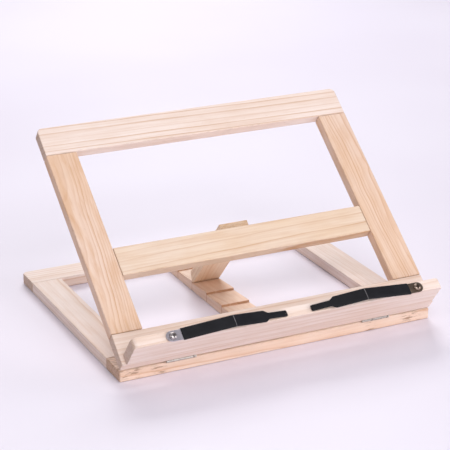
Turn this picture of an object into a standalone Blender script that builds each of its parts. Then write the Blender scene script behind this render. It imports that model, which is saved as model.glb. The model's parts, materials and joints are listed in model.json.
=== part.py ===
"""Folding book display stand: a flat base frame with a notched slat, a tilting
easel frame with a book ledge, a hinged prop leg and two swinging page clips."""
import bpy
import bmesh
import math
from mathutils import Matrix, Vector

MM = 0.001

# ---- driving dimensions, millimetres -------------------------------------
WIDTH = 335.0            # over both stiles
DEPTH = 268.2            # front to back of each frame
THICK = 11.2             # board thickness
STILE_W = 31.7
RAIL_W = 32.4
GAP = 0.3                # glue-line gap between boards
EDGE = 1.0               # eased arrises
TILT = math.radians(38.47)
HINGE_H = 0.55           # hinge axis above the base boards

CROSS_LO, CROSS_HI = 91.0, 122.0
LEDGE_D = 32.7
LEDGE_LO, LEDGE_HI = -1.2, 9.8
LEDGE_IN = 3.8
CORNER_R = 5.5

SLAT_HALF = 15.6
SLAT_TOP = 10.6
NOTCH_Z = 8.4
NOTCH_WALLS = (98.3, 133.7, 169.3, 204.7)
NOTCH_RUN = 32.0

PROP_HALF = 15.5
PROP_S = CROSS_HI + 0.6  # prop axis along the easel
PROP_LEN = 104.75
PROP_FOLD = math.radians(86.29)

LEAF_T = 0.8
LEAF_W = 11.0
BARREL_R = 1.4
PIN_R = 0.70
BORE_R = 0.79
KNUCKLE_GAP = 0.25
HINGE_X = 105.0
HINGE_LEN = 30.0
PROP_HINGE_LEN = 25.0

CLIP_S = 2.9
CLIP_LEFT_X, CLIP_RIGHT_X = -125.2, 134.8
CLIP_RISE_LEFT, CLIP_RISE_RIGHT = 6.8, 8.2
STRIP_T = 0.8
STRIP_HALF = 5.5
STRIP_TIP_HALF = 2.5
CLIP_LEN = 117.0
SLEEVE_START = 9.0

DOWEL_R = 3.0
DOWEL_HOLE_R = 3.2
DOWEL_HALF = 12.0

# ---- scene -----------------------------------------------------------------
for _o in list(bpy.data.objects):
    bpy.data.objects.remove(_o, do_unlink=True)

MAIN = bpy.data.collections.new("book_display_stand")
CUT = bpy.data.collections.new("cutters")
bpy.context.scene.collection.children.link(MAIN)
bpy.context.scene.collection.children.link(CUT)


def material(name, rgb, rough, metal):
    m = bpy.data.materials.new(name)
    m.use_nodes = True
    b = m.node_tree.nodes.get("Principled BSDF")
    b.inputs["Base Color"].default_value = (rgb[0], rgb[1], rgb[2], 1.0)
    b.inputs["Roughness"].default_value = rough
    b.inputs["Metallic"].default_value = metal
    m.diffuse_color = (rgb[0], rgb[1], rgb[2], 1.0)
    return m


PINE_PALE = material("pine_pale", (0.86, 0.68, 0.53), 0.55, 0.0)
PINE_WARM = material("pine_warm", (0.82, 0.58, 0.38), 0.55, 0.0)
PINE_TAN = material("pine_tan", (0.78, 0.56, 0.38), 0.55, 0.0)
BEECH = material("dowel_beech", (0.74, 0.55, 0.36), 0.6, 0.0)
STEEL = material("hinge_steel", (0.62, 0.60, 0.58), 0.35, 1.0)
SPRING = material("spring_steel", (0.50, 0.48, 0.50), 0.3, 1.0)
SCREW = material("screw_steel", (0.45, 0.42, 0.40), 0.35, 1.0)
SLEEVE = material("black_sleeve", (0.020, 0.021, 0.027), 0.45, 0.0)


def axis_empty(name, matrix, parent=None):
    e = bpy.data.objects.new(name, None)
    e.empty_display_size = 0.02
    MAIN.objects.link(e)
    if parent is not None:
        e.parent = parent
    e.matrix_basis = matrix
    return e


def shift(x, y, z):
    return Matrix.Translation(Vector((x * MM, y * MM, z * MM)))


BASE = axis_empty("base_datum", shift(0, -DEPTH / 2, 0))
EASEL = axis_empty("easel_tilt_axis",
                   shift(0, -DEPTH / 2, THICK + HINGE_H) @ Matrix.Rotation(TILT, 4, "X"))
PROP = axis_empty("prop_swing_axis",
                  shift(0, PROP_S, HINGE_H) @ Matrix.Rotation(-PROP_FOLD, 4, "X"), EASEL)
LEDGE_FACE = HINGE_H + THICK + LEDGE_D
CLIP_L = axis_empty("clip_left_axis", shift(CLIP_LEFT_X, CLIP_S, LEDGE_FACE), EASEL)
CLIP_R = axis_empty("clip_right_axis",
                    shift(CLIP_RIGHT_X, CLIP_S, LEDGE_FACE) @ Matrix.Rotation(math.pi, 4, "Z"), EASEL)


# ---- mesh helpers (all inputs in millimetres) --------------------------------
def add_prism(bm, outline, lo, hi, place):
    """Closed prism: 2-D outline swept from lo to hi; place maps (a, b, c) to x, y, z."""
    low = [bm.verts.new(Vector(place(a, b, lo)) * MM) for a, b in outline]
    top = [bm.verts.new(Vector(place(a, b, hi)) * MM) for a, b in outline]
    n = len(outline)
    faces = [bm.faces.new(list(reversed(low))), bm.faces.new(top)]
    for i in range(n):
        j = (i + 1) % n
        faces.append(bm.faces.new((low[i], low[j], top[j], top[i])))
    return faces


def add_lathe(bm, profile, place, segs):
    """Closed solid of revolution; profile runs (r, h) from axis to axis."""
    rings = []
    for r, h in profile:
        if r <= 1e-9:
            rings.append([bm.verts.new(Vector(place(0.0, 0.0, h)) * MM)])
        else:
            rings.append([bm.verts.new(Vector(place(r * math.cos(2 * math.pi * k / segs),
                                                    r * math.sin(2 * math.pi * k / segs), h)) * MM)
                          for k in range(segs)])
    for a, b in zip(rings, rings[1:]):
        for k in range(segs):
            j = (k + 1) % segs
            if len(a) == 1:
                bm.faces.new((a[0], b[j], b[k]))
            elif len(b) == 1:
                bm.faces.new((a[k], a[j], b[0]))
            else:
                bm.faces.new((a[k], a[j], b[j], b[k]))


def add_cyl(bm, r, lo, hi, place, segs=20):
    add_lathe(bm, [(0, lo), (r, lo), (r, hi), (0, hi)], place, segs)


def add_box(bm, x0, x1, y0, y1, z0, z1):
    add_prism(bm, [(x0, y0), (x1, y0), (x1, y1), (x0, y1)], z0, z1, lambda a, b, c: (a, b, c))


def finish(bm, name, parent, mat, smooth=False, coll=None):
    bmesh.ops.recalc_face_normals(bm, faces=bm.faces[:])
    me = bpy.data.meshes.new(name)
    bm.to_mesh(me)
    bm.free()
    ob = bpy.data.objects.new(name, me)
    (coll or MAIN).objects.link(ob)
    ob.parent = parent
    if mat is not None:
        me.materials.append(mat)
    if smooth:
        for p in me.polygons:
            p.use_smooth = True
    return ob


def ease(ob, width=EDGE, segs=2):
    m = ob.modifiers.new("eased_edges", "BEVEL")
    m.width = width * MM
    m.segments = segs
    m.limit_method = "ANGLE"
    m.angle_limit = math.radians(50)


def cut(ob, build, parent, tag):
    """Subtract the closed bodies that build(bm) adds, in the parent's frame."""
    bm = bmesh.new()
    build(bm)
    c = finish(bm, "cut_%s_%s" % (ob.name, tag), parent, None, coll=CUT)
    c.hide_render = True
    c.display_type = "WIRE"
    m = ob.modifiers.new("cut_" + tag, "BOOLEAN")
    m.operation = "DIFFERENCE"
    m.solver = "EXACT"
    m.object = c


def rounded(x0, x1, y0, y1, radii, steps=5):
    """Rectangle outline with a radius at each corner: (x0,y0), (x1,y0), (x1,y1), (x0,y1)."""
    out = []
    corners = [(x0, y0, 1, 1, 180), (x1, y0, -1, 1, 270), (x1, y1, -1, -1, 0), (x0, y1, 1, -1, 90)]
    for (cx, cy, sx, sy, a0), r in zip(corners, radii):
        if r <= 0:
            out.append((cx, cy))
            continue
        for k in range(steps + 1):
            a = math.radians(a0 + 90 * k / steps)
            out.append((cx + sx * r + r * math.cos(a), cy + sy * r + r * math.sin(a)))
    return out


XYZ = lambda a, b, c: (a, b, c)


def along_y(x, z):
    """Lathe axis along +Y through (x, z)."""
    return lambda a, b, h: (x + a, h, z + b)


def along_x(y, z):
    return lambda a, b, h: (h, y + a, z + b)


def along_z(x, y):
    return lambda a, b, h: (x + a, y + b, h)


def board(name, parent, outline, z0, z1, mat, edge=EDGE):
    bm = bmesh.new()
    add_prism(bm, outline, z0, z1, XYZ)
    ob = finish(bm, name, parent, mat)
    if edge:
        ease(ob, edge)
    return ob


# ---- dowels -------------------------------------------------------------------
def dowel(name, parent, place_at, centre, r=DOWEL_R, half=DOWEL_HALF):
    bm = bmesh.new()
    c = centre
    add_lathe(bm, [(0, c - half), (r - 0.5, c - half), (r, c - half + 0.8), (r, c + half - 0.8),
                   (r - 0.5, c + half), (0, c + half)], place_at, 16)
    return finish(bm, name, parent, BEECH, smooth=False)


def dowel_hole(bm, place_at, centre, r=DOWEL_HOLE_R, half=DOWEL_HALF + 0.4):
    add_cyl(bm, r, centre - half, centre + half, place_at, 16)


HW = WIDTH / 2
INNER = HW - STILE_W
STILE_C = HW - STILE_W / 2
BACK = DEPTH - RAIL_W


# ---- hinge parts ----------------------------------------------------------------
def knuckles(length, count, odd):
    step = length / count
    out = []
    for i in range(count):
        if (i % 2 == 1) == odd:
            lo = -length / 2 + i * step + (KNUCKLE_GAP / 2 if i else 0)
            hi = -length / 2 + (i + 1) * step - (KNUCKLE_GAP / 2 if i < count - 1 else 0)
            out.append((lo, hi))
    return out


def screw_points(length):
    return [(-length * 0.32, 6.6), (length * 0.32, 6.6)]


def curl_outline(height, back):
    """Rolled knuckle seen end-on: plate underside, round the bore, out and back round the barrel."""
    end = math.degrees(math.asin(height / BARREL_R)) - 13.0
    a0 = math.degrees(math.asin(height / BORE_R))
    a1 = math.degrees(math.asin((height + LEAF_T) / BARREL_R))
    pts = [(back, height)]
    n = 16
    for k in range(n + 1):
        a = math.radians(a0 + (360 + end - a0) * k / n)
        pts.append((BORE_R * math.cos(a), BORE_R * math.sin(a)))
    for k in range(n + 1):
        a = math.radians(360 + end + (a1 - 360 - end) * k / n)
        pts.append((BARREL_R * math.cos(a), BARREL_R * math.sin(a)))
    pts.append((back, height + LEAF_T))
    return pts


def hinge_leaf(name, parent, cx, cy, cz, length, height, side, up, odd):
    """One leaf. side: +1 leaf runs to +Y, -1 to -Y. up: +1 plate above the axis, -1 below."""
    bm = bmesh.new()
    spans = knuckles(length, 5, odd)
    back = 1.75
    outline = curl_outline(height, back)
    xs = sorted(set([-length / 2, length / 2] + [round(v, 6) for sp in spans for v in sp]))

    def vert(x, y, z):
        return bm.verts.new(Vector((cx + x, cy + side * y, cz + up * z)) * MM)

    near = [(vert(x, back, height), vert(x, back, height + LEAF_T)) for x in xs]
    far = [(vert(x, LEAF_W, height), vert(x, LEAF_W, height + LEAF_T)) for x in xs]
    starts = [round(lo, 6) for lo, _ in spans]
    for i in range(len(xs) - 1):
        n0, n1, f0, f1 = near[i], near[i + 1], far[i], far[i + 1]
        bm.faces.new((n0[0], n1[0], f1[0], f0[0]))
        bm.faces.new((n0[1], f0[1], f1[1], n1[1]))
        bm.faces.new((f0[0], f1[0], f1[1], f0[1]))
        if xs[i] not in starts:
            bm.faces.new((n0[0], n0[1], n1[1], n1[0]))
            continue
        ra = [n0[0]] + [vert(xs[i], y, z) for y, z in outline[1:-1]] + [n0[1]]
        rb = [n1[0]] + [vert(xs[i + 1], y, z) for y, z in outline[1:-1]] + [n1[1]]
        for k in range(len(ra) - 1):
            bm.faces.new((ra[k], ra[k + 1], rb[k + 1], rb[k]))
        bm.faces.new(ra)
        bm.faces.new(list(reversed(rb)))
    for n, f in ((near[0], far[0]), (near[-1], far[-1])):
        bm.faces.new((n[0], f[0], f[1], n[1]))
    ob = finish(bm, name, parent, STEEL)

    def holes(bm):
        for sx, sy in screw_points(length):
            prof = [(0, -0.4), (2.45, -0.4), (2.45, 0.05), (1.65, LEAF_T), (1.65, LEAF_T + 0.5), (0, LEAF_T + 0.5)]
            add_lathe(bm, prof, lambda a, b, h, sx=sx, sy=sy: (cx + sx + a, cy + side * sy + b,
                                                              cz + up * (height + h)), 16)
    cut(ob, holes, parent, "holes")
    return ob


def hinge_pin(name, parent, cx, cy, cz, length):
    bm = bmesh.new()
    h = length / 2
    add_lathe(bm, [(0, -h - 0.45), (1.05, -h - 0.45), (1.15, -h - 0.1), (PIN_R, -h - 0.1), (PIN_R, h + 0.1),
                   (1.15, h + 0.1), (1.05, h + 0.45), (0, h + 0.45)],
              lambda a, b, q: (cx + q, cy + a, cz + b), 16)
    return finish(bm, name, parent, STEEL)


def hinge_pocket(bm, cx, cy, cz, length, height, side, up):
    """Leaf mortise."""
    x0, x1 = cx - length / 2 - 0.35, cx + length / 2 + 0.35
    ys = sorted((cy - side * 2.6, cy + side * (LEAF_W + 0.35)))
    zs = sorted((cz - up * 3.0, cz + up * (height + LEAF_T + 0.25)))
    add_box(bm, x0, x1, ys[0], ys[1], zs[0], zs[1])


def hinge_relief(bm, cx, cy, cz, length, side, up):
    """Deeper rebate under the barrel."""
    x0, x1 = cx - length / 2 - 0.75, cx + length / 2 + 0.75
    ys = sorted((cy - side * 2.7, cy + side * 1.95))
    zs = sorted((cz - up * 3.2, cz + up * 1.75))
    add_box(bm, x0, x1, ys[0], ys[1], zs[0], zs[1])


def hinge_screw_holes(bm, cx, cy, cz, length, height, side, up, depth=8.0):
    for sx, sy in screw_points(length):
        z0 = cz + up * (height + LEAF_T - 0.2)
        z1 = cz + up * (height + depth)
        add_cyl(bm, 1.25, min(z0, z1), max(z0, z1), along_z(cx + sx, cy + side * sy), 14)


def cross_outline(arm, half):
    return [(arm, -half), (arm, half), (half, half), (half, arm), (-half, arm), (-half, half),
            (-arm, half), (-arm, -half), (-half, -half), (-half, -arm), (half, -arm), (half, -half)]


def flat_screw(name, parent, place, head_r, cone_h, shank_r, length, arm, arm_w, recess, segs=16):
    """Countersunk screw; h = 0 at the head's face, growing into the wood."""
    bm = bmesh.new()
    add_lathe(bm, [(0, 0.04), (head_r - 0.15, 0.04), (head_r, 0.16), (shank_r, cone_h), (shank_r, length - 1.8),
                   (0, length)], place, segs)
    ob = finish(bm, name, parent, SCREW)

    def drive(bm):
        add_prism(bm, cross_outline(arm, arm_w), -0.5, recess, place)
    cut(ob, drive, parent, "drive")
    return ob


def hinge_screws(prefix, parent, cx, cy, cz, length, height, side, up):
    for i, (sx, sy) in enumerate(screw_points(length)):
        place = (lambda a, b, h, sx=sx, sy=sy: (cx + sx + a, cy + side * sy + b, cz + up * (height + h)))
        flat_screw("%s_%s" % (prefix, "ab"[i]), parent, place, 2.15, 1.15, 1.0, 7.2, 1.15, 0.24, 0.5, 14)


# ---- base frame -----------------------------------------------------------------
base_front = board("base_front_rail", BASE, rounded(-HW, HW, 0, RAIL_W, (1.5, 1.5, 0, 0), 2), 0, THICK, PINE_WARM)
base_back = board("base_back_rail", BASE, rounded(-HW, HW, BACK, DEPTH, (0, 0, CORNER_R, CORNER_R)), 0, THICK, PINE_PALE)
base_left = board("base_left_stile", BASE,
                  rounded(-HW, -INNER, RAIL_W + GAP, BACK - GAP, (0, 0, 0, 0)), 0, THICK, PINE_PALE)
base_right = board("base_right_stile", BASE,
                   rounded(INNER, HW, RAIL_W + GAP, BACK - GAP, (0, 0, 0, 0)), 0, THICK, PINE_PALE)


def slat_outline():
    pts = [(RAIL_W + GAP, 0.0), (BACK - GAP, 0.0), (BACK - GAP, SLAT_TOP)]
    for wall in reversed(NOTCH_WALLS):
        pts += [(wall, SLAT_TOP), (wall, NOTCH_Z), (wall - NOTCH_RUN, SLAT_TOP)]
    pts.append((RAIL_W + GAP, SLAT_TOP))
    return pts


_bm = bmesh.new()
add_prism(_bm, slat_outline(), -SLAT_HALF, SLAT_HALF, lambda a, b, c: (c, a, b))
slat = finish(_bm, "ratchet_slat", BASE, PINE_TAN)

MID = THICK / 2
SLAT_DZ = 4.6
for tag, x, y, z, r in (("front_left", -STILE_C, RAIL_W, MID, DOWEL_R), ("front_right", STILE_C, RAIL_W, MID, DOWEL_R),
                        ("back_left", -STILE_C, BACK, MID, DOWEL_R), ("back_right", STILE_C, BACK, MID, DOWEL_R),
                        ("slat_front", 0.0, RAIL_W, SLAT_DZ, 2.4), ("slat_back", 0.0, BACK, SLAT_DZ, 2.4)):
    dowel("base_dowel_" + tag, BASE, along_y(x, z), y, r)


def base_front_holes(bm):
    for x in (-STILE_C, STILE_C):
        dowel_hole(bm, along_y(x, MID), RAIL_W)
    dowel_hole(bm, along_y(0, SLAT_DZ), RAIL_W, 2.6)
    for x in (-HINGE_X, HINGE_X):
        hinge_screw_holes(bm, x, 0, THICK + HINGE_H, HINGE_LEN, HINGE_H, 1, -1)


def base_back_holes(bm):
    for x in (-STILE_C, STILE_C):
        dowel_hole(bm, along_y(x, MID), BACK)
    dowel_hole(bm, along_y(0, SLAT_DZ), BACK, 2.6)


def front_pockets(bm):
    for x in (-HINGE_X, HINGE_X):
        hinge_pocket(bm, x, 0, THICK + HINGE_H, HINGE_LEN, HINGE_H, 1, -1)


def front_reliefs(bm):
    for x in (-HINGE_X, HINGE_X):
        hinge_relief(bm, x, 0, THICK + HINGE_H, HINGE_LEN, 1, -1)


cut(base_front, front_pockets, BASE, "pockets")
cut(base_front, front_reliefs, BASE, "reliefs")
cut(base_front, base_front_holes, BASE, "holes")
cut(base_back, base_back_holes, BASE, "holes")
for ob, x in ((base_left, -STILE_C), (base_right, STILE_C)):
    cut(ob, lambda bm, x=x: (dowel_hole(bm, along_y(x, MID), RAIL_W), dowel_hole(bm, along_y(x, MID), BACK)), BASE, "holes")
cut(slat, lambda bm: (dowel_hole(bm, along_y(0, SLAT_DZ), RAIL_W, 2.6), dowel_hole(bm, along_y(0, SLAT_DZ), BACK, 2.6)),
    BASE, "holes")

# ---- easel frame: x across, y up the slope, z out of the front face --------------
Z0, Z1 = HINGE_H, HINGE_H + THICK
ZM = (Z0 + Z1) / 2
easel_bottom = board("easel_bottom_rail", EASEL, rounded(-HW, HW, 0, RAIL_W, (1.5, 1.5, 0, 0), 2), Z0, Z1, PINE_PALE)
easel_top = board("easel_top_rail", EASEL, rounded(-HW, HW, BACK, DEPTH, (0, 0, CORNER_R, CORNER_R)), Z0, Z1, PINE_PALE)
easel_left = board("easel_left_stile", EASEL,
                   rounded(-HW, -INNER, RAIL_W + GAP, BACK - GAP, (0, 0, 0, 0)), Z0, Z1, PINE_WARM)
easel_right = board("easel_right_stile", EASEL,
                    rounded(INNER, HW, RAIL_W + GAP, BACK - GAP, (0, 0, 0, 0)), Z0, Z1, PINE_TAN)
easel_cross = board("easel_cross_rail", EASEL,
                    rounded(-INNER + GAP, INNER - GAP, CROSS_LO, CROSS_HI, (0, 0, 0, 0)), Z0, Z1, PINE_PALE)

for tag, x, y in (("bottom_left", -STILE_C, RAIL_W), ("bottom_right", STILE_C, RAIL_W),
                  ("top_left", -STILE_C, BACK), ("top_right", STILE_C, BACK)):
    dowel("easel_dowel_" + tag, EASEL, along_y(x, ZM), y)
CROSS_MID = (CROSS_LO + CROSS_HI) / 2
for tag, x in (("left", -INNER), ("right", INNER)):
    dowel("cross_rail_dowel_" + tag, EASEL, along_x(CROSS_MID, ZM), x)

LEDGE_SCREW_X = (-150.0, 0.0, 150.0)
LEDGE_SCREW_S = 4.3


def easel_bottom_holes(bm):
    for x in (-STILE_C, STILE_C):
        dowel_hole(bm, along_y(x, ZM), RAIL_W)
    for x in (-HINGE_X, HINGE_X):
        hinge_screw_holes(bm, x, 0, 0, HINGE_LEN, HINGE_H, 1, 1)
    for x in LEDGE_SCREW_X:
        prof = [(0, Z0 - 1), (4.3, Z0 - 1), (4.3, Z0), (2.15, Z0 + 2.8), (2.15, Z1 + 1), (0, Z1 + 1)]
        add_lathe(bm, prof, along_z(x, LEDGE_SCREW_S), 18)


cut(easel_bottom, lambda bm: [hinge_pocket(bm, x, 0, 0, HINGE_LEN, HINGE_H, 1, 1) for x in (-HINGE_X, HINGE_X)],
    EASEL, "pockets")
cut(easel_bottom, lambda bm: [hinge_relief(bm, x, 0, 0, HINGE_LEN, 1, 1) for x in (-HINGE_X, HINGE_X)], EASEL, "reliefs")
cut(easel_bottom, easel_bottom_holes, EASEL, "holes")
cut(easel_top, lambda bm: [dowel_hole(bm, along_y(x, ZM), BACK) for x in (-STILE_C, STILE_C)], EASEL, "holes")
for ob, x, xi in ((easel_left, -STILE_C, -INNER), (easel_right, STILE_C, INNER)):
    cut(ob, lambda bm, x=x, xi=xi: (dowel_hole(bm, along_y(x, ZM), RAIL_W), dowel_hole(bm, along_y(x, ZM), BACK),
                                    dowel_hole(bm, along_x(CROSS_MID, ZM), xi)), EASEL, "holes")
cut(easel_cross, lambda bm: hinge_pocket(bm, 0, PROP_S, HINGE_H, PROP_HINGE_LEN, 0.0, -1, 1), EASEL, "pocket")
cut(easel_cross, lambda bm: hinge_relief(bm, 0, PROP_S, HINGE_H, PROP_HINGE_LEN, -1, 1), EASEL, "relief")


def cross_holes(bm):
    for x in (-INNER, INNER):
        dowel_hole(bm, along_x(CROSS_MID, ZM), x)
    hinge_screw_holes(bm, 0, PROP_S, HINGE_H, PROP_HINGE_LEN, 0.0, -1, 1)


cut(easel_cross, cross_holes, EASEL, "holes")

# ---- book ledge ---------------------------------------------------------------------
_bm = bmesh.new()
add_prism(_bm, rounded(-HW + LEDGE_IN, HW - LEDGE_IN, Z1 + 0.25, LEDGE_FACE, (0, 0, 5.0, 5.0)), LEDGE_LO, LEDGE_HI,
          lambda a, b, c: (a, c, b))
ledge = finish(_bm, "book_ledge", EASEL, PINE_PALE)
ease(ledge, 0.9)


def ledge_holes(bm):
    for x in LEDGE_SCREW_X:
        add_cyl(bm, 2.05, Z1 - 1, Z1 + 17.5, along_z(x, LEDGE_SCREW_S), 18)
    for x in (CLIP_LEFT_X, CLIP_RIGHT_X):
        add_cyl(bm, 1.95, LEDGE_FACE - 13.0, LEDGE_FACE + 1, along_z(x, CLIP_S), 18)


cut(ledge, ledge_holes, EASEL, "holes")
for tag, x in zip(("left", "middle", "right"), LEDGE_SCREW_X):
    flat_screw("ledge_screw_" + tag, EASEL, lambda a, b, h, x=x: (x + a, LEDGE_SCREW_S + b, Z0 + h),
               3.95, 2.9, 1.85, 27.0, 2.1, 0.45, 1.3, 18)

# ---- frame hinges ------------------------------------------------------------------
for tag, x in (("left", -HINGE_X), ("right", HINGE_X)):
    hinge_leaf("hinge_%s_base_leaf" % tag, BASE, x, 0, THICK + HINGE_H, HINGE_LEN, HINGE_H, 1, -1, False)
    hinge_leaf("hinge_%s_easel_leaf" % tag, EASEL, x, 0, 0, HINGE_LEN, HINGE_H, 1, 1, True)
    hinge_pin("hinge_%s_pin" % tag, BASE, x, 0, THICK + HINGE_H, HINGE_LEN)
    hinge_screws("hinge_%s_base_screw" % tag, BASE, x, 0, THICK + HINGE_H, HINGE_LEN, HINGE_H, 1, -1)
    hinge_screws("hinge_%s_easel_screw" % tag, EASEL, x, 0, 0, HINGE_LEN, HINGE_H, 1, 1)

# ---- prop leg and its hinge: y down the leg, z through its thickness ----------------
_bm = bmesh.new()
PROP_OUTLINE = [(0.9, 0.0), (PROP_LEN, 0.0), (PROP_LEN + 2.0, 2.2), (PROP_LEN - 1.5, THICK), (0.9, THICK)]
add_prism(_bm, PROP_OUTLINE, -PROP_HALF, PROP_HALF, lambda a, b, c: (c, a, b))
prop = finish(_bm, "prop_leg", PROP, PINE_TAN)
cut(prop, lambda bm: hinge_pocket(bm, 0, 0, 0, PROP_HINGE_LEN, 0.0, 1, 1), PROP, "pocket")
cut(prop, lambda bm: hinge_relief(bm, 0, 0, 0, PROP_HINGE_LEN, 1, 1), PROP, "relief")
cut(prop, lambda bm: hinge_screw_holes(bm, 0, 0, 0, PROP_HINGE_LEN, 0.0, 1, 1), PROP, "holes")
hinge_leaf("prop_hinge_rail_leaf", EASEL, 0, PROP_S, HINGE_H, PROP_HINGE_LEN, 0.0, -1, 1, False)
hinge_leaf("prop_hinge_leg_leaf", PROP, 0, 0, 0, PROP_HINGE_LEN, 0.0, 1, 1, True)
hinge_pin("prop_hinge_pin", EASEL, 0, PROP_S, HINGE_H, PROP_HINGE_LEN)
hinge_screws("prop_hinge_rail_screw", EASEL, 0, PROP_S, HINGE_H, PROP_HINGE_LEN, 0.0, -1, 1)
hinge_screws("prop_hinge_leg_screw", PROP, 0, 0, 0, PROP_HINGE_LEN, 0.0, 1, 1)


# ---- page clips: x along the strip from its screw, z out of the ledge ---------------
STRIP_Z = 1.4
BEND_A, BEND_B = 8.0, 60.5


def ramp(d, w):
    if d <= -w:
        return 0.0
    if d >= w:
        return d
    return (d + w) ** 2 / (4 * w)


def strip_height(x, rise):
    up = rise / (BEND_B - BEND_A)
    down = (rise - 0.5) / (CLIP_LEN - BEND_B)
    return STRIP_Z + up * ramp(x - BEND_A, 2.5) - (up + down) * ramp(x - BEND_B, 4.0)


def strip_half(x):
    if x < -1.0:
        return math.sqrt(max(STRIP_HALF ** 2 - (x + 1.0) ** 2, 0.35 ** 2))
    if x < 92:
        return STRIP_HALF
    t = min((x - 92) / 6.0, 1.0)
    t = t * t * (3 - 2 * t)
    return STRIP_HALF + (STRIP_TIP_HALF - STRIP_HALF) * t


def stations(lo, hi, extra):
    xs = [lo, hi] + [v for v in extra if lo < v < hi]
    return sorted(set(xs))


def frame_at(x, rise):
    e = 0.05
    dz = (strip_height(x + e, rise) - strip_height(x - e, rise)) / (2 * e)
    n = math.hypot(1, dz)
    return strip_height(x, rise), -dz / n, 1 / n


MARKS = [-6.42, -6.2, -5.7, -4.8, -3.2, -1.0, 0.0, 5.5, 7.0, 8.0, 9.2, 10.5, 24, 40, 55.5, 57.5, 59, 60, 61, 62.5, 64.5,
         76, 86, 92, 93.5, 95, 96.5, 98, 106, 112, 115, 116.2]


def build_strip(name, parent, rise):
    bm = bmesh.new()
    rows = []
    for x in stations(-STRIP_HALF - 1.0, CLIP_LEN - 1.2, MARKS):
        z, nx, nz = frame_at(x, rise)
        w, h = strip_half(x), STRIP_T / 2
        rows.append([bm.verts.new(Vector((x + sy * h * nx, sx * w, z + sy * h * nz)) * MM)
                     for sx, sy in ((-1, -1), (1, -1), (1, 1), (-1, 1))])
    for a, b in zip(rows, rows[1:]):
        for k in range(4):
            j = (k + 1) % 4
            bm.faces.new((a[k], a[j], b[j], b[k]))
    bm.faces.new(list(reversed(rows[0])))
    bm.faces.new(rows[-1])
    ob = finish(bm, name, parent, SPRING)
    cut(ob, lambda bm: add_cyl(bm, 2.05, -1, 4, along_z(0, 0), 18), parent, "eye")
    return ob


def ring(w, h, r):
    pts = []
    for sx, sy, a0 in ((1, -1, 270), (1, 1, 0), (-1, 1, 90), (-1, -1, 180)):
        for k in range(3):
            a = math.radians(a0 + 45 * k)
            pts.append((sx * (w - r) + r * math.cos(a), sy * (h - r) + r * math.sin(a)))
    return pts


def build_sleeve(name, parent, rise):
    bm = bmesh.new()
    outer, inner = [], []
    for x in stations(SLEEVE_START, CLIP_LEN, MARKS):
        z, nx, nz = frame_at(x, rise)
        extra = 0.65 if x < 115.5 else 0.65 - 0.15 * (x - 115.5) / (CLIP_LEN - 115.5)
        w = strip_half(x) + extra
        for rows, ww, hh, rr in ((outer, w, 1.2, 0.7), (inner, strip_half(x) + 0.15, STRIP_T / 2 + 0.2, 0.1)):
            rows.append([bm.verts.new(Vector((x + b * nx, a, z + b * nz)) * MM) for a, b in ring(ww, hh, rr)])
    n = 12
    for rows in (outer, inner):
        for a, b in zip(rows, rows[1:]):
            for k in range(n):
                j = (k + 1) % n
                bm.faces.new((a[k], a[j], b[j], b[k]))
    for o, i in ((outer[0], inner[0]), (outer[-1], inner[-1])):
        for k in range(n):
            j = (k + 1) % n
            bm.faces.new((o[k], o[j], i[j], i[k]))
    return finish(bm, name, parent, SLEEVE)


def clip(tag, parent, rise):
    build_strip("clip_%s_spring" % tag, parent, rise)
    build_sleeve("clip_%s_sleeve" % tag, parent, rise)
    bm = bmesh.new()
    seg = 20
    prof = [(2.15, 0.2), (4.4, 0.2), (4.4, 0.8), (2.15, 0.8)]
    rings = [[bm.verts.new(Vector((r * math.cos(2 * math.pi * k / seg), r * math.sin(2 * math.pi * k / seg), h)) * MM)
              for k in range(seg)] for r, h in prof]
    for a, b in zip(rings, rings[1:] + rings[:1]):
        for k in range(seg):
            j = (k + 1) % seg
            bm.faces.new((a[k], a[j], b[j], b[k]))
    finish(bm, "clip_%s_washer" % tag, parent, SCREW)
    bm = bmesh.new()
    add_lathe(bm, [(0, -12.4), (1.0, -11.2), (1.7, -10.2), (1.7, 2.0), (3.5, 2.0), (3.6, 2.5), (3.2, 3.3), (2.2, 3.85),
                   (0, 4.05)], along_z(0, 0), 20)
    ob = finish(bm, "clip_%s_screw" % tag, parent, SCREW)
    cut(ob, lambda bm: add_prism(bm, cross_outline(1.9, 0.4), 2.7, 4.6, XYZ), parent, "drive")


clip("left", CLIP_L, CLIP_RISE_LEFT)
clip("right", CLIP_R, CLIP_RISE_RIGHT)
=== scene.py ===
"""Looks of the folding book display stand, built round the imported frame."""

import bpy
import bmesh
import json
import math
from mathutils import Matrix, Vector

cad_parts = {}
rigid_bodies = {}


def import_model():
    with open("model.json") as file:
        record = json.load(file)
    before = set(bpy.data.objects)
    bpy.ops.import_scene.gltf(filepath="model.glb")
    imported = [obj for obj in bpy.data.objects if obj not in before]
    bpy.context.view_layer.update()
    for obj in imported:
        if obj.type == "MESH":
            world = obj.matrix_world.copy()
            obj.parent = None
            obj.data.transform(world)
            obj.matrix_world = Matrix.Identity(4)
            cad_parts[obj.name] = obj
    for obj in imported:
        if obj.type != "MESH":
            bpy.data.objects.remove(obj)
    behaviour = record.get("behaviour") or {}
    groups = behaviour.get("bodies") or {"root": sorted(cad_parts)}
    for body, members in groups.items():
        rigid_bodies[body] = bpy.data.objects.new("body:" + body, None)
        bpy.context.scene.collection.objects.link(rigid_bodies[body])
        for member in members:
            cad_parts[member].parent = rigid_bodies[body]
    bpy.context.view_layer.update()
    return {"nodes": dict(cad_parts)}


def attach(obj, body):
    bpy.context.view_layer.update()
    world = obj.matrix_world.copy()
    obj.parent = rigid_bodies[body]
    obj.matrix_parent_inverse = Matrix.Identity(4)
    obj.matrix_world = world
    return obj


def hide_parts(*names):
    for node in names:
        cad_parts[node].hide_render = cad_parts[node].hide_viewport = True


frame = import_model()
NODES = frame["nodes"]
MM = 0.001

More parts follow.
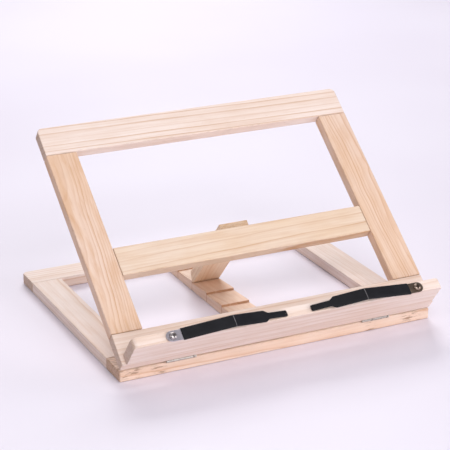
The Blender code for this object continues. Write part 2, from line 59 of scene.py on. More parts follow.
# ---- dimensions of the frame, millimetres ---------------------------------
WIDTH, DEPTH, THICK = 335.0, 268.2, 11.2
STILE_W, RAIL_W, GAP = 31.7, 32.4, 0.22
TILT = math.radians(38.47)
HINGE_H = 0.55
CROSS_LO, CROSS_HI = 91.0, 122.0
LEDGE_D, LEDGE_LO, LEDGE_HI, LEDGE_IN = 32.7, -1.2, 9.8, 3.8
CORNER_R = 5.5
SLAT_HALF, SLAT_TOP, NOTCH_Z, NOTCH_RUN = 15.6, 10.6, 8.4, 32.0
NOTCH_WALLS = (98.3, 133.7, 169.3, 204.7)
PROP_HALF, PROP_S, PROP_LEN = 15.5, CROSS_HI + 0.6, 106.9
PROP_FOLD = math.radians(86.29)
CLIP_S, CLIP_LEFT_X, CLIP_RIGHT_X = 2.9, -125.2, 134.8
RISE_LEFT, RISE_RIGHT = 6.8, 8.2
STRIP_T, STRIP_HALF, STRIP_TIP_HALF, CLIP_LEN, SLEEVE_START = 0.8, 5.5, 2.5, 117.0, 9.0
HW = WIDTH / 2
INNER = HW - STILE_W
BACK = DEPTH - RAIL_W
LEDGE_FACE = HINGE_H + THICK + LEDGE_D
HINGE_X, HINGE_LEN, PROP_HINGE_LEN, LEAF_W, LEAF_T = 105.0, 30.0, 25.0, 11.0, 0.8


def shift(x, y, z):
    return Matrix.Translation(Vector((x * MM, y * MM, z * MM)))


M_BASE = shift(0, -DEPTH / 2, 0)
M_EASEL = shift(0, -DEPTH / 2, THICK + HINGE_H) @ Matrix.Rotation(TILT, 4, "X")
M_PROP = M_EASEL @ shift(0, PROP_S, HINGE_H) @ Matrix.Rotation(-PROP_FOLD, 4, "X")
M_CLIP_L = M_EASEL @ shift(CLIP_LEFT_X, CLIP_S, LEDGE_FACE)
M_CLIP_R = M_EASEL @ shift(CLIP_RIGHT_X, CLIP_S, LEDGE_FACE) @ Matrix.Rotation(math.pi, 4, "Z")

SCRATCH = bpy.data.collections.new("scratch")
bpy.context.scene.collection.children.link(SCRATCH)


# ---- node-graph helper -------------------------------------------------------
class Graph:
    def __init__(self, name):
        self.mat = bpy.data.materials.new(name)
        self.mat.use_nodes = True
        self.t = self.mat.node_tree
        self.bsdf = self.t.nodes.get("Principled BSDF")
        self.out = self.t.nodes.get("Material Output")

    def n(self, kind, **props):
        node = self.t.nodes.new(kind)
        for k, v in props.items():
            setattr(node, k, v)
        return node

    def put(self, sock, value):
        if hasattr(value, "is_output"):
            self.t.links.new(value, sock)
        else:
            sock.default_value = value

    def m(self, op, a, b=0.0, c=None, clamp=False):
        node = self.n("ShaderNodeMath", operation=op, use_clamp=clamp)
        self.put(node.inputs[0], a)
        self.put(node.inputs[1], b)
        if c is not None:
            self.put(node.inputs[2], c)
        return node.outputs[0]

    def step(self, v, lo, hi, a=0.0, b=1.0):
        node = self.n("ShaderNodeMapRange", interpolation_type="SMOOTHSTEP")
        self.put(node.inputs["Value"], v)
        for key, val in (("From Min", lo), ("From Max", hi), ("To Min", a), ("To Max", b)):
            self.put(node.inputs[key], val)
        return node.outputs["Result"]

    def xyz(self, x, y, z):
        node = self.n("ShaderNodeCombineXYZ")
        for s, v in zip(node.inputs, (x, y, z)):
            self.put(s, v)
        return node.outputs[0]

    def split(self, v):
        node = self.n("ShaderNodeSeparateXYZ")
        self.put(node.inputs[0], v)
        return node.outputs

    def noise(self, vec, scale=1.0, detail=2.0, rough=0.5, seed=0.0, distortion=0.0):
        node = self.n("ShaderNodeTexNoise", noise_dimensions="4D")
        self.put(node.inputs["Vector"], vec)
        self.put(node.inputs["W"], seed)
        self.put(node.inputs["Scale"], scale)
        self.put(node.inputs["Detail"], detail)
        self.put(node.inputs["Roughness"], rough)
        self.put(node.inputs["Distortion"], distortion)
        return node.outputs["Fac"]

    def mix(self, fac, a, b, blend="MIX"):
        node = self.n("ShaderNodeMix", data_type="RGBA", blend_type=blend)
        self.put(node.inputs["Factor"], fac)
        ins = [s for s in node.inputs if s.type == "RGBA"]
        self.put(ins[0], a)
        self.put(ins[1], b)
        return [s for s in node.outputs if s.type == "RGBA"][0]

    def ramp(self, fac, stops):
        node = self.n("ShaderNodeValToRGB")
        self.put(node.inputs[0], fac)
        cr = node.color_ramp
        while len(cr.elements) < len(stops):
            cr.elements.new(0.5)
        for e, (p, c) in zip(cr.elements, stops):
            e.position = p
            e.color = (c, c, c, 1.0) if not isinstance(c, tuple) else (c[0], c[1], c[2], 1.0)
        return node.outputs["Color"]

    def bump(self, height, dist, strength):
        node = self.n("ShaderNodeBump")
        self.put(node.inputs["Height"], height)
        node.inputs["Distance"].default_value = dist
        node.inputs["Strength"].default_value = strength
        return node.outputs["Normal"]

    def local(self, matrix):
        """Object coordinates and normal carried into a board's own frame, metres."""
        tc = self.n("ShaderNodeTexCoord")
        inv = matrix.inverted()
        mp = self.n("ShaderNodeMapping", vector_type="POINT")
        self.put(mp.inputs["Vector"], tc.outputs["Object"])
        mp.inputs["Location"].default_value = inv.translation
        mp.inputs["Rotation"].default_value = inv.to_euler("XYZ")
        mn = self.n("ShaderNodeMapping", vector_type="NORMAL")
        self.put(mn.inputs["Vector"], tc.outputs["Normal"])
        mn.inputs["Rotation"].default_value = inv.to_euler("XYZ")
        return mp.outputs[0], mn.outputs[0]


def lin(r, g, b):
    return tuple(((c / 255.0) / 12.92 if c / 255.0 <= 0.04045 else (((c / 255.0) + 0.055) / 1.055) ** 2.4) for c in (r, g, b))


def rgba(c):
    return (c[0], c[1], c[2], 1.0)


# early wood, late wood and warm drift of each tone
TONES = {
    "pale": (lin(242, 227, 220), lin(200, 156, 118), lin(236, 213, 199)),
    "cream": (lin(234, 215, 199), lin(192, 138, 86), lin(229, 200, 170)),
    "warm": (lin(235, 211, 197), lin(198, 148, 106), lin(226, 188, 154)),
    "tan": (lin(244, 221, 205), lin(208, 158, 118), lin(238, 205, 178)),
    "light": (lin(250, 230, 208), lin(212, 158, 110), lin(246, 214, 178)),
    "peach": (lin(237, 216, 202), lin(204, 156, 120), lin(231, 198, 174)),
}


def wood(name, matrix, axes, centre, half, tone="pale", spacing=4.2, pith=(0.0, -30.0), tilt=0.0, seed=1.0,
         late=0.75, wander=3.0, fine=1.0, dive=0.0, narrow=False, mottle=0.25, streaks=(), notch_shade=()):
    """Flat-sawn pine. axes: which of x, y, z is along, across and through the board.
    centre and half in millimetres give the board's box for its worn arrises; pith is the
    ring centre (across, through) in millimetres; tilt and dive are its sideways and inward
    run-out per unit of length; streaks are (centre, half length) spots of torn brown grain."""
    g = Graph(name)
    pos, nor = g.local(matrix)
    p = g.split(pos)
    q = g.split(nor)
    l, w, t = (p[a] for a in axes)
    ln = g.m("ABSOLUTE", q[axes[0]])
    early, dark, drift = TONES[tone]
    # slow wander of the rings along the board, then local warp
    slow = g.noise(g.xyz(g.m("MULTIPLY", l, 5.0), 0.0, 0.0), 1.0, 1.0, 0.5, seed + 3.1)
    slow2 = g.noise(g.xyz(g.m("MULTIPLY", l, 16.0), g.m("MULTIPLY", w, 14.0), g.m("MULTIPLY", t, 14.0)), 1.0, 2.0, 0.55, seed + 7.7)
    dw = g.m("SUBTRACT", w, pith[0] * MM)
    dw = g.m("SUBTRACT", dw, g.m("MULTIPLY", l, tilt))
    dw = g.m("ADD", dw, g.m("MULTIPLY", g.m("SUBTRACT", slow, 0.5), wander * 2 * MM))
    dt = g.m("SUBTRACT", t, pith[1] * MM)
    if dive:
        dt = g.m("SUBTRACT", dt, g.m("MULTIPLY", l, dive))
    r = g.m("SQRT", g.m("ADD", g.m("MULTIPLY", dw, dw), g.m("MULTIPLY", dt, dt)))
    r = g.m("ADD", r, g.m("MULTIPLY", g.m("SUBTRACT", slow2, 0.5), wander * MM))
    phase = g.m("DIVIDE", r, spacing * MM)
    width = g.noise(g.xyz(phase, 0.0, 0.0), 0.6, 1.0, 0.5, seed + 11.0)
    phase = g.m("ADD", phase, g.m("MULTIPLY", width, 1.3))
    fr = g.m("FRACT", phase)
    band = g.ramp(fr, [(0.0, 0.10), (0.07, 0.02), (0.66, 0.06), (0.84, 0.30), (0.93, 1.0), (0.97, 0.8), (1.0, 0.10)] if narrow else
                  [(0.0, 0.10), (0.10, 0.02), (0.45, 0.10), (0.74, 0.42), (0.88, 1.0), (0.95, 0.85), (1.0, 0.10)])
    ring_no = g.m("FLOOR", phase)
    each = g.noise(g.xyz(g.m("MULTIPLY", ring_no, 7.31), 0.0, 0.0), 1.0, 0.0, 0.5, seed + 19.0)
    each = g.step(each, 0.34, 0.62, 0.30, 1.0)
    fade = g.step(g.noise(g.xyz(g.m("MULTIPLY", l, 9.0), g.m("MULTIPLY", w, 40.0), g.m("MULTIPLY", t, 40.0)), 1.0, 2.0, 0.5, seed + 23.0), 0.30, 0.65, 0.55, 1.0)
    lateness = g.m("MULTIPLY", g.m("MULTIPLY", band, each), g.m("MULTIPLY", fade, late))
    # fibres, pores and short resin ducts
    fib = g.noise(g.xyz(g.m("MULTIPLY", l, 34.0), g.m("MULTIPLY", w, 1500.0), g.m("MULTIPLY", t, 1500.0)), 1.0, 3.0, 0.6, seed + 31.0)
    fib2 = g.noise(g.xyz(g.m("MULTIPLY", l, 11.0), g.m("MULTIPLY", w, 420.0), g.m("MULTIPLY", t, 420.0)), 1.0, 2.0, 0.5, seed + 37.0)
    duct = g.step(g.noise(g.xyz(g.m("MULTIPLY", l, 120.0), g.m("MULTIPLY", w, 2300.0), g.m("MULTIPLY", t, 2300.0)), 1.0, 1.0, 0.5, seed + 41.0), 0.70, 0.80)
    cloud = g.noise(g.xyz(g.m("MULTIPLY", l, 7.0), g.m("MULTIPLY", w, 20.0), g.m("MULTIPLY", t, 20.0)), 1.0, 3.0, 0.55, seed + 43.0)
    col = g.mix(g.step(cloud, 0.35, 0.70, 0.0, 0.60), rgba(early), rgba(drift))
    mott = g.noise(g.xyz(g.m("MULTIPLY", l, 26.0), g.m("MULTIPLY", w, 150.0), g.m("MULTIPLY", t, 150.0)), 1.0, 3.0, 0.6, seed + 71.0)
    col = g.mix(g.step(mott, 0.42, 0.68, 0.0, mottle), col, rgba(tuple(a * 0.55 + b * 0.45 for a, b in zip(drift, dark))))
    col = g.mix(lateness, col, rgba(dark))
    col = g.mix(g.step(fib2, 0.35, 0.72, 0.0, 0.22 * fine), col, rgba(dark))
    col = g.mix(g.step(fib, 0.40, 0.75, 0.0, 0.22 * fine), col, rgba(drift))
    col = g.mix(g.m("MULTIPLY", duct, 0.45), col, rgba(tuple(c * 0.45 for c in dark)))
    # painted shade: a dark orange-brown band along each notch wall, laid where the shade falls in the notch corners
    for at in notch_shade:
        shade_band = g.step(g.m("ABSOLUTE", g.m("SUBTRACT", l, (at - 0.1) * MM)), 0.35 * MM, 0.85 * MM, 0.65, 0.0)
        col = g.mix(g.m("MULTIPLY", shade_band, g.step(fib2, 0.25, 0.55, 0.55, 1.0)), col, rgba(lin(186, 124, 78)))
    for cx, hl in streaks:
        near = g.step(g.m("ABSOLUTE", g.m("SUBTRACT", l, cx * MM)), hl * 0.4 * MM, hl * MM, 1.0, 0.0)
        torn = g.noise(g.xyz(g.m("MULTIPLY", l, 75.0), g.m("MULTIPLY", w, 480.0), g.m("MULTIPLY", t, 480.0)), 1.0, 4.0, 0.65, seed + 47.0)
        col = g.mix(g.m("MULTIPLY", near, g.step(torn, 0.50, 0.60, 0.0, 0.75)), col, rgba(tuple(c * 0.50 for c in dark)))
    # end grain: darker and duller, with its own open pores
    end = g.step(ln, 0.55, 0.85)
    pores = g.noise(g.xyz(g.m("MULTIPLY", l, 300.0), g.m("MULTIPLY", w, 1700.0), g.m("MULTIPLY", t, 1700.0)), 1.0, 3.0, 0.7, seed + 53.0)
    endcol = g.mix(0.40, col, rgba(tuple(c * 0.70 for c in dark)))
    endcol = g.mix(g.step(pores, 0.42, 0.68, 0.0, 0.42), endcol, rgba(tuple(c * 0.35 for c in dark)))
    col = g.mix(end, col, endcol)
    # worn and handled arrises
    ds = [g.m("SUBTRACT", half[i] * MM, g.m("ABSOLUTE", g.m("SUBTRACT", p[i], centre[i] * MM))) for i in range(3)]
    e1 = g.m("MAXIMUM", ds[0], ds[1])
    e2 = g.m("MAXIMUM", ds[1], ds[2])
    e3 = g.m("MAXIMUM", ds[0], ds[2])
    edge = g.step(g.m("MINIMUM", g.m("MINIMUM", e1, e2), e3), 0.0003, 0.0017, 1.0, 0.0)
    scuff = g.noise(pos, 160.0, 4.0, 0.65, seed + 61.0)
    scuff2 = g.noise(pos, 28.0, 3.0, 0.6, seed + 67.0)
    wear = g.m("MULTIPLY", edge, g.step(scuff, 0.42, 0.70, 0.06, 0.34))
    wear = g.m("MULTIPLY", wear, g.step(scuff2, 0.38, 0.62, 0.25, 1.0))
    col = g.mix(wear, col, rgba(tuple(c * 0.62 for c in dark)))
    smudge = g.step(scuff2, 0.56, 0.78, 0.0, 0.10)
    col = g.mix(smudge, col, rgba(lin(188, 160, 138)))
    g.put(g.bsdf.inputs["Base Color"], col)
    rough = g.m("ADD", 0.50, g.m("MULTIPLY", fib, 0.16))
    rough = g.m("SUBTRACT", rough, g.m("MULTIPLY", lateness, 0.10))
    rough = g.m("ADD", rough, g.m("MULTIPLY", end, 0.16))
    rough = g.m("ADD", rough, g.m("MULTIPLY", wear, 0.12), clamp=True)
    g.put(g.bsdf.inputs["Roughness"], rough)
    g.bsdf.inputs["Specular IOR Level"].default_value = 0.35
    h = g.m("ADD", g.m("MULTIPLY", fib, 0.6), g.m("MULTIPLY", lateness, 0.55))
    h = g.m("ADD", h, g.m("MULTIPLY", duct, -0.5))
    h = g.m("ADD", h, g.m("MULTIPLY", g.m("MULTIPLY", pores, end), 0.9))
    h = g.m("ADD", h, g.m("MULTIPLY", g.m("MULTIPLY", scuff, edge), 0.8))
    g.put(g.bsdf.inputs["Normal"], g.bump(h, 0.00016, 0.55))
    return g.mat


def metal(name, matrix, colour, rough, along=0, seed=1.0, stain=0.25, dark=(0.10, 0.07, 0.05)):
    g = Graph(name)
    pos, _ = g.local(matrix)
    p = g.split(pos)
    s = [2600.0, 2600.0, 2600.0]
    s[along] = 60.0
    brush = g.noise(g.xyz(*[g.m("MULTIPLY", p[i], s[i]) for i in range(3)]), 1.0, 3.0, 0.6, seed)
    patch = g.noise(pos, 240.0, 4.0, 0.6, seed + 5.0)
    fine = g.noise(pos, 1900.0, 2.0, 0.6, seed + 9.0)
    spots = g.step(patch, 0.52, 0.72, 0.0, stain)
    col = g.mix(g.step(brush, 0.3, 0.7, 0.0, 0.5), rgba(colour), rgba(tuple(c * 0.72 for c in colour)))
    col = g.mix(spots, col, rgba(dark))
    g.put(g.bsdf.inputs["Base Color"], col)
    g.bsdf.inputs["Metallic"].default_value = 1.0
    r = g.m("ADD", rough, g.m("MULTIPLY", g.m("SUBTRACT", brush, 0.5), 0.22))
    r = g.m("ADD", r, g.m("MULTIPLY", spots, 0.6), clamp=True)
    g.put(g.bsdf.inputs["Roughness"], r)
    h = g.m("ADD", brush, g.m("MULTIPLY", fine, 0.5))
    g.put(g.bsdf.inputs["Normal"], g.bump(h, 0.00003, 0.5))
    return g.mat


def sleeve_mat(name, matrix, seed):
    """Black shrunk-on sleeving: faint lengthwise ribs, a painted highlight along the bend crease, and lint."""
    g = Graph(name)
    pos, _ = g.local(matrix)
    p = g.split(pos)
    rib = g.noise(g.xyz(g.m("MULTIPLY", p[0], 90.0), g.m("MULTIPLY", p[1], 900.0), g.m("MULTIPLY", p[2], 900.0)), 1.0, 3.0, 0.6, seed)
    cloud = g.noise(pos, 90.0, 3.0, 0.55, seed + 2.0)
    grain = g.noise(pos, 2400.0, 2.0, 0.6, seed + 4.0)
    lint = g.step(g.noise(g.xyz(g.m("MULTIPLY", p[0], 500.0), g.m("MULTIPLY", p[1], 1900.0), g.m("MULTIPLY", p[2], 1900.0)), 1.0, 2.0, 0.6, seed + 6.0), 0.68, 0.78)
    col = g.mix(g.step(cloud, 0.35, 0.7), rgba((0.0055, 0.0055, 0.0080)), rgba((0.0095, 0.0095, 0.0130)))
    col = g.mix(g.m("MULTIPLY", lint, 0.28), col, rgba((0.09, 0.085, 0.09)))
    col = g.mix(g.step(rib, 0.55, 0.75, 0.0, 0.35), col, rgba((0.022, 0.0225, 0.027)))
    # painted highlight: a light grey line across the sleeve at the bend crease, standing in for light caught on the
    # crease
    bend_highlight = g.step(g.m("ABSOLUTE", g.m("SUBTRACT", p[0], 60.5 * MM)), 0.12 * MM, 0.50 * MM, 1.0, 0.0)
    col = g.mix(g.m("MULTIPLY", bend_highlight, g.step(cloud, 0.25, 0.55, 0.35, 0.9)), col, rgba((0.20, 0.19, 0.20)))
    g.put(g.bsdf.inputs["Base Color"], col)
    r = g.m("ADD", 0.46, g.m("MULTIPLY", cloud, 0.20))
    r = g.m("ADD", r, g.m("MULTIPLY", lint, 0.25), clamp=True)
    g.put(g.bsdf.inputs["Roughness"], r)
    g.bsdf.inputs["Specular IOR Level"].default_value = 0.20
    h = g.m("ADD", g.m("MULTIPLY", rib, 0.9), g.m("MULTIPLY", grain, 0.35))
    g.put(g.bsdf.inputs["Normal"], g.bump(h, 0.00012, 0.5))
    return g.mat


# ---- mesh helpers (millimetres in a board's own frame) -------------------------
def add_prism(bm, outline, lo, hi, place):
    low = [bm.verts.new(Vector(place(a, b, lo)) * MM) for a, b in outline]
    top = [bm.verts.new(Vector(place(a, b, hi)) * MM) for a, b in outline]
    n = len(outline)
    bm.faces.new(list(reversed(low)))
    bm.faces.new(top)
    for i in range(n):
        j = (i + 1) % n
        bm.faces.new((low[i], low[j], top[j], top[i]))


def add_lathe(bm, profile, place, segs):
    rings = []
    for r, h in profile:
        if r <= 1e-9:
            rings.append([bm.verts.new(Vector(place(0.0, 0.0, h)) * MM)])
        else:
            rings.append([bm.verts.new(Vector(place(r * math.cos(2 * math.pi * k / segs),
                                                    r * math.sin(2 * math.pi * k / segs), h)) * MM)
                          for k in range(segs)])
    for a, b in zip(rings, rings[1:]):
        for k in range(segs):
            j = (k + 1) % segs
            if len(a) == 1:
                bm.faces.new((a[0], b[j], b[k]))
            elif len(b) == 1:
                bm.faces.new((a[k], a[j], b[0]))
            else:
                bm.faces.new((a[k], a[j], b[j], b[k]))


def raw(bm, name, coll=None):
    bmesh.ops.recalc_face_normals(bm, faces=bm.faces[:])
    me = bpy.data.meshes.new(name)
    bm.to_mesh(me)
    bm.free()
    ob = bpy.data.objects.new(name, me)
    (coll or bpy.context.scene.collection).objects.link(ob)
    return ob


def cutter(build):
    bm = bmesh.new()
    build(bm)
    ob = raw(bm, "tmp_cutter", SCRATCH)
    return ob


def bake(ob, matrix, sharp=35.0):
    """Apply modifiers, carry the mesh into the row frame, mark creases and weight normals."""
    bpy.context.view_layer.update()
    dg = bpy.context.evaluated_depsgraph_get()
    me = bpy.data.meshes.new_from_object(ob.evaluated_get(dg))
    ob.modifiers.clear()
    old = ob.data
    ob.data = me
    bpy.data.meshes.remove(old)
    me.transform(matrix)
    bm = bmesh.new()
    bm.from_mesh(me)
    bmesh.ops.remove_doubles(bm, verts=bm.verts[:], dist=1e-7)
    for f in bm.faces:
        f.smooth = True
    for e in bm.edges:
        if len(e.link_faces) == 2:
            e.smooth = e.calc_face_angle(0.0) < math.radians(sharp)
        else:
            e.smooth = False
    bm.to_mesh(me)
    bm.free()
    wn = ob.modifiers.new("even_normals", "WEIGHTED_NORMAL")
    wn.keep_sharp = True
    wn.weight = 100
    return ob


def board(node, body, matrix, shape, lo, hi, place, mat, edge=1.1, segs=4, cuts=(), angle=50.0):
    bm = bmesh.new()
    add_prism(bm, shape, lo, hi, place)
    ob = raw(bm, "v_" + node)
    if edge:
        bv = ob.modifiers.new("eased", "BEVEL")
        bv.width = edge * MM
        bv.segments = segs
        bv.limit_method = "ANGLE"
        bv.angle_limit = math.radians(angle)
        bv.harden_normals = False
    tmp = []
    for build in cuts:
        c = cutter(build)
        tmp.append(c)
        bo = ob.modifiers.new("pocket", "BOOLEAN")
        bo.operation = "DIFFERENCE"
        bo.solver = "EXACT"
        bo.object = c
    bake(ob, matrix)
    for c in tmp:
        bpy.data.objects.remove(c, do_unlink=True)
    ob.data.materials.clear()
    ob.data.materials.append(mat)
    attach(ob, body)
    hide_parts(node)
    return ob


def rounded(x0, x1, y0, y1, radii, steps=8):
    out = []
    corners = [(x0, y0, 1, 1, 180), (x1, y0, -1, 1, 270), (x1, y1, -1, -1, 0), (x0, y1, 1, -1, 90)]
    for (cx, cy, sx, sy, a0), r in zip(corners, radii):
        if r <= 0:
            out.append((cx, cy))
            continue
        for k in range(steps + 1):
            a = math.radians(a0 + 90 * k / steps)
            out.append((cx + sx * r + r * math.cos(a), cy + sy * r + r * math.sin(a)))
    return out


XYZ = lambda a, b, c: (a, b, c)


def pocket_cut(cx, cy, cz, length, height, side, up):
    def build(bm):
        x0, x1 = cx - length / 2 - 0.35, cx + length / 2 + 0.35
        ys = sorted((cy - side * 2.6, cy + side * (LEAF_W + 0.35)))
        zs = sorted((cz - up * 3.0, cz + up * (height + LEAF_T + 0.12)))
        add_prism(bm, [(x0, ys[0]), (x1, ys[0]), (x1, ys[1]), (x0, ys[1])], zs[0], zs[1], XYZ)
    return build


def relief_cut(cx, cy, cz, length, side, up):
    def build(bm):
        x0, x1 = cx - length / 2 - 0.75, cx + length / 2 + 0.75
        ys = sorted((cy - side * 2.7, cy + side * 1.95))
        zs = sorted((cz - up * 3.2, cz + up * 1.75))
        add_prism(bm, [(x0, ys[0]), (x1, ys[0]), (x1, ys[1]), (x0, ys[1])], zs[0], zs[1], XYZ)
    return build


def screw_hole(x, y, z, r, depth, up):
    def build(bm):
        lo, hi = sorted((z - up * 2.0, z + up * depth))
        add_lathe(bm, [(0, lo), (r, lo), (r, hi), (0, hi)], lambda a, b, h: (x + a, y + b, h), 24)
    return build


X_, Y_, Z_ = 0, 1, 2
RAIL_AX, STILE_AX = (0, 1, 2), (1, 0, 2)
Z0, Z1 = HINGE_H, HINGE_H + THICK
ZC = (Z0 + Z1) / 2

# ---- base frame ---------------------------------------------------------------
def rail(node, body, matrix, y0, y1, z0, z1, radii, x=HW, cuts=(), **kw):
    c = (0.0, (y0 + y1) / 2, (z0 + z1) / 2)
    h = (x, (y1 - y0) / 2, (z1 - z0) / 2)
    mat = wood("wood_" + node, matrix, RAIL_AX, c, h, **kw)
    return board(node, body, matrix, rounded(-x, x, y0, y1, radii), z0, z1, XYZ, mat, cuts=cuts)


def stile(node, body, matrix, x0, x1, z0, z1, **kw):
    y0, y1 = RAIL_W + GAP, BACK - GAP
    mat = wood("wood_" + node, matrix, STILE_AX, ((x0 + x1) / 2, (y0 + y1) / 2, (z0 + z1) / 2),
               ((x1 - x0) / 2, (y1 - y0) / 2, (z1 - z0) / 2), **kw)
    return board(node, body, matrix, rounded(x0, x1, y0, y1, (0, 0, 0, 0)), z0, z1, XYZ, mat)


front_cuts = []
for hx in (-HINGE_X, HINGE_X):
    front_cuts += [pocket_cut(hx, 0, THICK + HINGE_H, HINGE_LEN, HINGE_H, 1, -1),
                   relief_cut(hx, 0, THICK + HINGE_H, HINGE_LEN, 1, -1)]
rail("base_front_rail", "base_frame", M_BASE, 0, RAIL_W, 0, THICK, (1.5, 1.5, 0, 0), cuts=front_cuts,
     tone="peach", spacing=3.4, pith=(-22, 14), tilt=0.010, seed=2.0, late=0.80, streaks=((-158, 16), (-128, 10), (146, 14), (100, 8)))
rail("base_back_rail", "base_frame", M_BASE, BACK, DEPTH, 0, THICK, (0, 0, CORNER_R, CORNER_R),
     tone="pale", spacing=4.4, pith=(BACK - 20, -10), tilt=-0.008, seed=5.0, late=0.70)
stile("base_left_stile", "base_frame", M_BASE, -HW, -INNER, 0, THICK,
      tone="pale", spacing=4.6, pith=(-HW + 8, -28), tilt=0.02, seed=8.0, late=0.70)
stile("base_right_stile", "base_frame", M_BASE, INNER, HW, 0, THICK,
      tone="pale", spacing=4.0, pith=(INNER + 40, -18), tilt=-0.02, seed=11.0, late=0.60)


def slat_outline():
    pts = [(RAIL_W + GAP, 0.0), (BACK - GAP, 0.0), (BACK - GAP, SLAT_TOP)]
    for wall in reversed(NOTCH_WALLS):
        pts += [(wall, SLAT_TOP), (wall, NOTCH_Z), (wall - NOTCH_RUN, SLAT_TOP)]
    pts.append((RAIL_W + GAP, SLAT_TOP))
    return pts


slat_mat = wood("wood_ratchet_slat", M_BASE, STILE_AX, (0, DEPTH / 2, SLAT_TOP / 2), (SLAT_HALF, DEPTH / 2 - RAIL_W, SLAT_TOP / 2),
                tone="tan", spacing=3.8, pith=(6, -22), tilt=0.015, seed=14.0, late=0.7, notch_shade=NOTCH_WALLS)
board("ratchet_slat", "base_frame", M_BASE, slat_outline(), -SLAT_HALF, SLAT_HALF, lambda a, b, c: (c, a, b), slat_mat,
      edge=0.35, segs=2)

# ---- easel frame ----------------------------------------------------------------
easel_cuts = []
for hx in (-HINGE_X, HINGE_X):
    easel_cuts += [pocket_cut(hx, 0, 0, HINGE_LEN, HINGE_H, 1, 1), relief_cut(hx, 0, 0, HINGE_LEN, 1, 1)]
for sx in (-150.0, 0.0, 150.0):
    def csk(bm, sx=sx):
        add_lathe(bm, [(0, Z0 - 1), (4.3, Z0 - 1), (4.3, Z0), (2.15, Z0 + 2.8), (2.15, Z0 + 9.0), (0, Z0 + 9.0)],
                  lambda a, b, h: (sx + a, 4.3 + b, h), 32)
    easel_cuts.append(csk)
rail("easel_bottom_rail", "easel_frame", M_EASEL, 0, RAIL_W, Z0, Z1, (1.5, 1.5, 0, 0), cuts=easel_cuts,
     tone="pale", spacing=4.6, pith=(-16, -14), tilt=0.006, seed=17.0, late=0.5)
rail("easel_top_rail", "easel_frame", M_EASEL, BACK, DEPTH, Z0, Z1, (0, 0, CORNER_R, CORNER_R),
     tone="pale", spacing=6.6, pith=(BACK - 30, -4), tilt=-0.010, seed=20.0, late=1.0, wander=1.8, narrow=True)
stile("easel_left_stile", "easel_frame", M_EASEL, -HW, -INNER, Z0, Z1,
      tone="warm", spacing=1.9, pith=(-HW - 6, -17), tilt=0.045, dive=0.012, seed=23.0, late=0.90, fine=0.7, wander=4.4, mottle=0.60)
stile("easel_right_stile", "easel_frame", M_EASEL, INNER, HW, Z0, Z1,
      tone="warm", spacing=1.8, pith=(INNER + 40, -19), tilt=-0.040, dive=-0.010, seed=26.0, late=0.80, fine=0.7, wander=4.0, mottle=0.45)
cross_cuts = [pocket_cut(0, PROP_S, HINGE_H, PROP_HINGE_LEN, 0.0, -1, 1), relief_cut(0, PROP_S, HINGE_H, PROP_HINGE_LEN, -1, 1)]
rail("easel_cross_rail", "easel_frame", M_EASEL, CROSS_LO, CROSS_HI, Z0, Z1, (0, 0, 0, 0), x=INNER - GAP, cuts=cross_cuts,
     tone="cream", spacing=10.0, pith=(CROSS_LO - 24, 4), tilt=0.030, seed=29.0, late=1.0, wander=2.6, narrow=True)

ledge_mat = wood("wood_book_ledge", M_EASEL, (0, 2, 1), (0, (LEDGE_LO + LEDGE_HI) / 2, (Z1 + LEDGE_FACE) / 2),
                 (HW - LEDGE_IN, (LEDGE_HI - LEDGE_LO) / 2, LEDGE_D / 2),
                 tone="pale", spacing=6.0, pith=(Z1 - 20, -30), tilt=0.01, seed=33.0, late=0.40, wander=2.5)
ledge_cuts = [screw_hole(x, CLIP_S, LEDGE_FACE, 1.95, 4.0, -1) for x in (CLIP_LEFT_X, CLIP_RIGHT_X)]
board("book_ledge", "easel_frame", M_EASEL,
      rounded(-HW + LEDGE_IN, HW - LEDGE_IN, Z1 + 0.2, LEDGE_FACE, (0, 0, 5.0, 5.0)), LEDGE_LO, LEDGE_HI,
      lambda a, b, c: (a, c, b), ledge_mat, edge=1.0, cuts=ledge_cuts)

# ---- prop leg ---------------------------------------------------------------------
prop_mat = wood("wood_prop_leg", M_PROP, STILE_AX, (0, PROP_LEN / 2, THICK / 2), (PROP_HALF, PROP_LEN / 2, THICK / 2),
                tone="light", spacing=3.4, pith=(4, -16), tilt=0.03, seed=37.0, late=0.75)
prop_shape = [(0.9, 0.0), (PROP_LEN, 0.0), (PROP_LEN + 0.75, 0.85), (PROP_LEN - 3.6, THICK), (0.9, THICK)]
board("prop_leg", "prop", M_PROP, prop_shape, -PROP_HALF, PROP_HALF, lambda a, b, c: (c, a, b), prop_mat, edge=0.5, segs=3,
      cuts=[pocket_cut(0, 0, 0, PROP_HINGE_LEN, 0.0, 1, 1), relief_cut(0, 0, 0, PROP_HINGE_LEN, 1, 1)], angle=25.0)

# ---- page clips -----------------------------------------------------------------------
STRIP_Z, BEND_A, BEND_B = 1.4, 8.0, 60.5


def ramp(d, w):
    return 0.0 if d <= -w else (d if d >= w else (d + w) ** 2 / (4 * w))


def strip_height(x, rise):
    up = rise / (BEND_B - BEND_A)
    down = (rise - 0.5) / (CLIP_LEN - BEND_B)
    return STRIP_Z + up * ramp(x - BEND_A, 2.0) - (up + down) * ramp(x - BEND_B, 0.9) - 0.12 * ramp(x - 20.0, 4.0) / 40.0


def strip_half(x):
    if x < -1.0:
        return math.sqrt(max(STRIP_HALF ** 2 - (x + 1.0) ** 2, 0.3 ** 2))
    t = min(max((x - 92) / 6.0, 0.0), 1.0)
    t = t * t * (3 - 2 * t)
    return STRIP_HALF + (STRIP_TIP_HALF - STRIP_HALF) * t


def frame_at(x, rise):
    e = 0.05
    dz = (strip_height(x + e, rise) - strip_height(x - e, rise)) / (2 * e)
    n = math.hypot(1, dz)
    return strip_height(x, rise), -dz / n, 1 / n


def span(lo, hi, n):
    return [lo + (hi - lo) * k / n for k in range(n + 1)]


